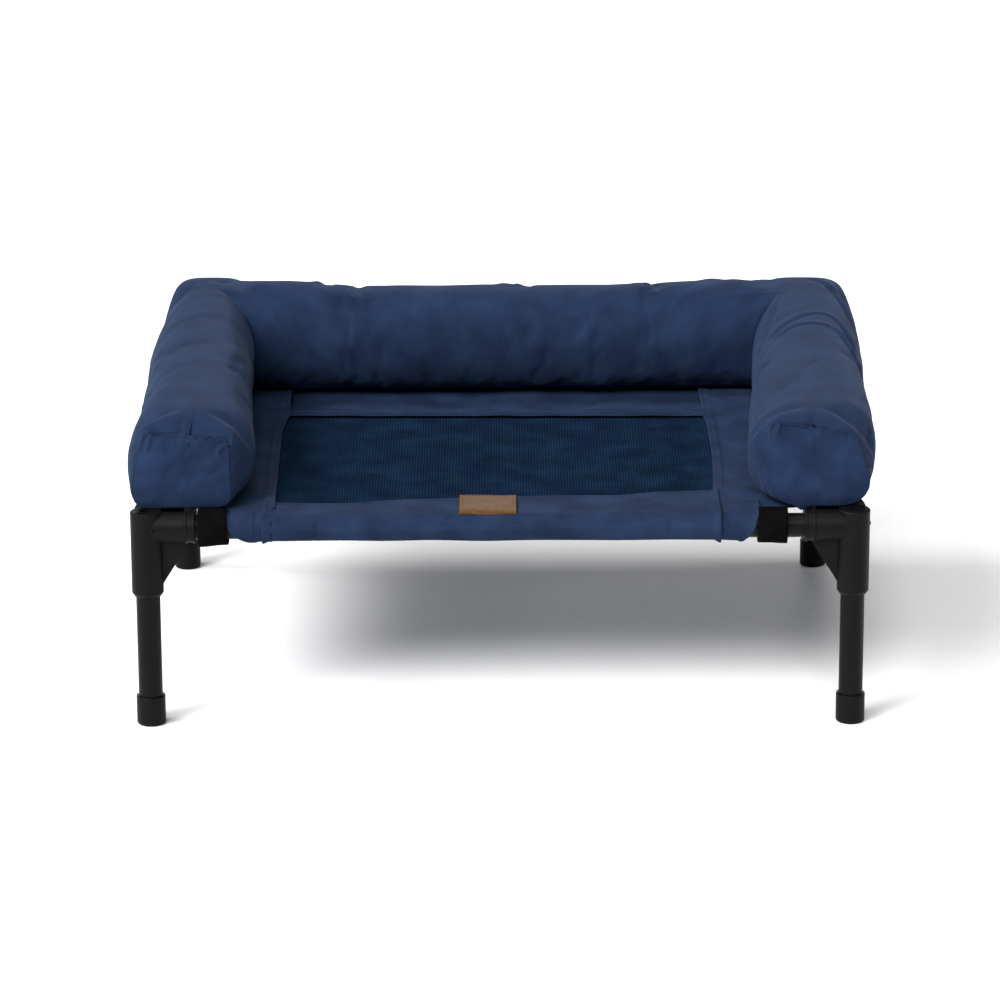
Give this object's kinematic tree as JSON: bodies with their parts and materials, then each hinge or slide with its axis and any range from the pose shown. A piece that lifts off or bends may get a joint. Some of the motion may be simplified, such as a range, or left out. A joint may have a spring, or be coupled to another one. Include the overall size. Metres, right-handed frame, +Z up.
{
  "type": "raised pet bed",
  "caption": "Raised pet bed with a mesh mat sleeved on a tube frame, push-in legs and a stuffed bolster round three sides.",
  "frame": {"origin": "on the floor, under the middle of the overall footprint", "axes": "+Z up, -Y towards the open front, +X to the right seen from the front"},
  "size_m": [0.6422, 0.4761, 0.2761],
  "materials": {
    "corner_plastic": "moulded black polypropylene, fine matt grain",
    "tube_steel": "black powder coat, satin",
    "foot_plastic": "moulded black, smooth",
    "mat_cloth": "navy plain-weave polyester",
    "mesh_cloth": "dark navy vinyl-coated mesh",
    "bolster_cloth": "navy brushed plain-weave polyester",
    "fibre_fill": "white loose fibre",
    "strap_webbing": "black hook-and-loop tape",
    "label_leather": "tan leather-look, stitched"
  },
  "bodies": {
    "bed": {"front_left_corner": "corner_plastic", "front_left_strap": "strap_webbing", "front_right_corner": "corner_plastic", "front_right_strap": "strap_webbing", "back_left_corner": "corner_plastic", "back_left_strap": "strap_webbing", "back_right_corner": "corner_plastic", "back_right_strap": "strap_webbing", "front_rail": "tube_steel", "front_sleeve": "mat_cloth", "back_rail": "tube_steel", "back_sleeve": "mat_cloth", "left_rail": "tube_steel", "left_sleeve": "mat_cloth", "right_rail": "tube_steel", "right_sleeve": "mat_cloth", "mesh_panel": "mesh_cloth", "label": "label_leather", "left_arm_cover": "bolster_cloth", "left_arm_fill": "fibre_fill", "right_arm_cover": "bolster_cloth", "right_arm_fill": "fibre_fill", "back_cover": "bolster_cloth", "back_fill": "fibre_fill"},
    "front_left_leg_body": {"front_left_leg": "tube_steel", "front_left_foot": "foot_plastic"},
    "front_right_leg_body": {"front_right_leg": "tube_steel", "front_right_foot": "foot_plastic"},
    "back_left_leg_body": {"back_left_leg": "tube_steel", "back_left_foot": "foot_plastic"},
    "back_right_leg_body": {"back_right_leg": "tube_steel", "back_right_foot": "foot_plastic"}
  },
  "joints": [
    {"name": "front_left_leg_slide", "type": "slide", "parent": "bed", "child": "front_left_leg_body", "axis": [0, 0, -1], "range_m": [0, 0.044]},
    {"name": "front_right_leg_slide", "type": "slide", "parent": "bed", "child": "front_right_leg_body", "axis": [0, 0, -1], "range_m": [0, 0.044]},
    {"name": "back_left_leg_slide", "type": "slide", "parent": "bed", "child": "back_left_leg_body", "axis": [0, 0, -1], "range_m": [0, 0.044]},
    {"name": "back_right_leg_slide", "type": "slide", "parent": "bed", "child": "back_right_leg_body", "axis": [0, 0, -1], "range_m": [0, 0.044]}
  ]
}
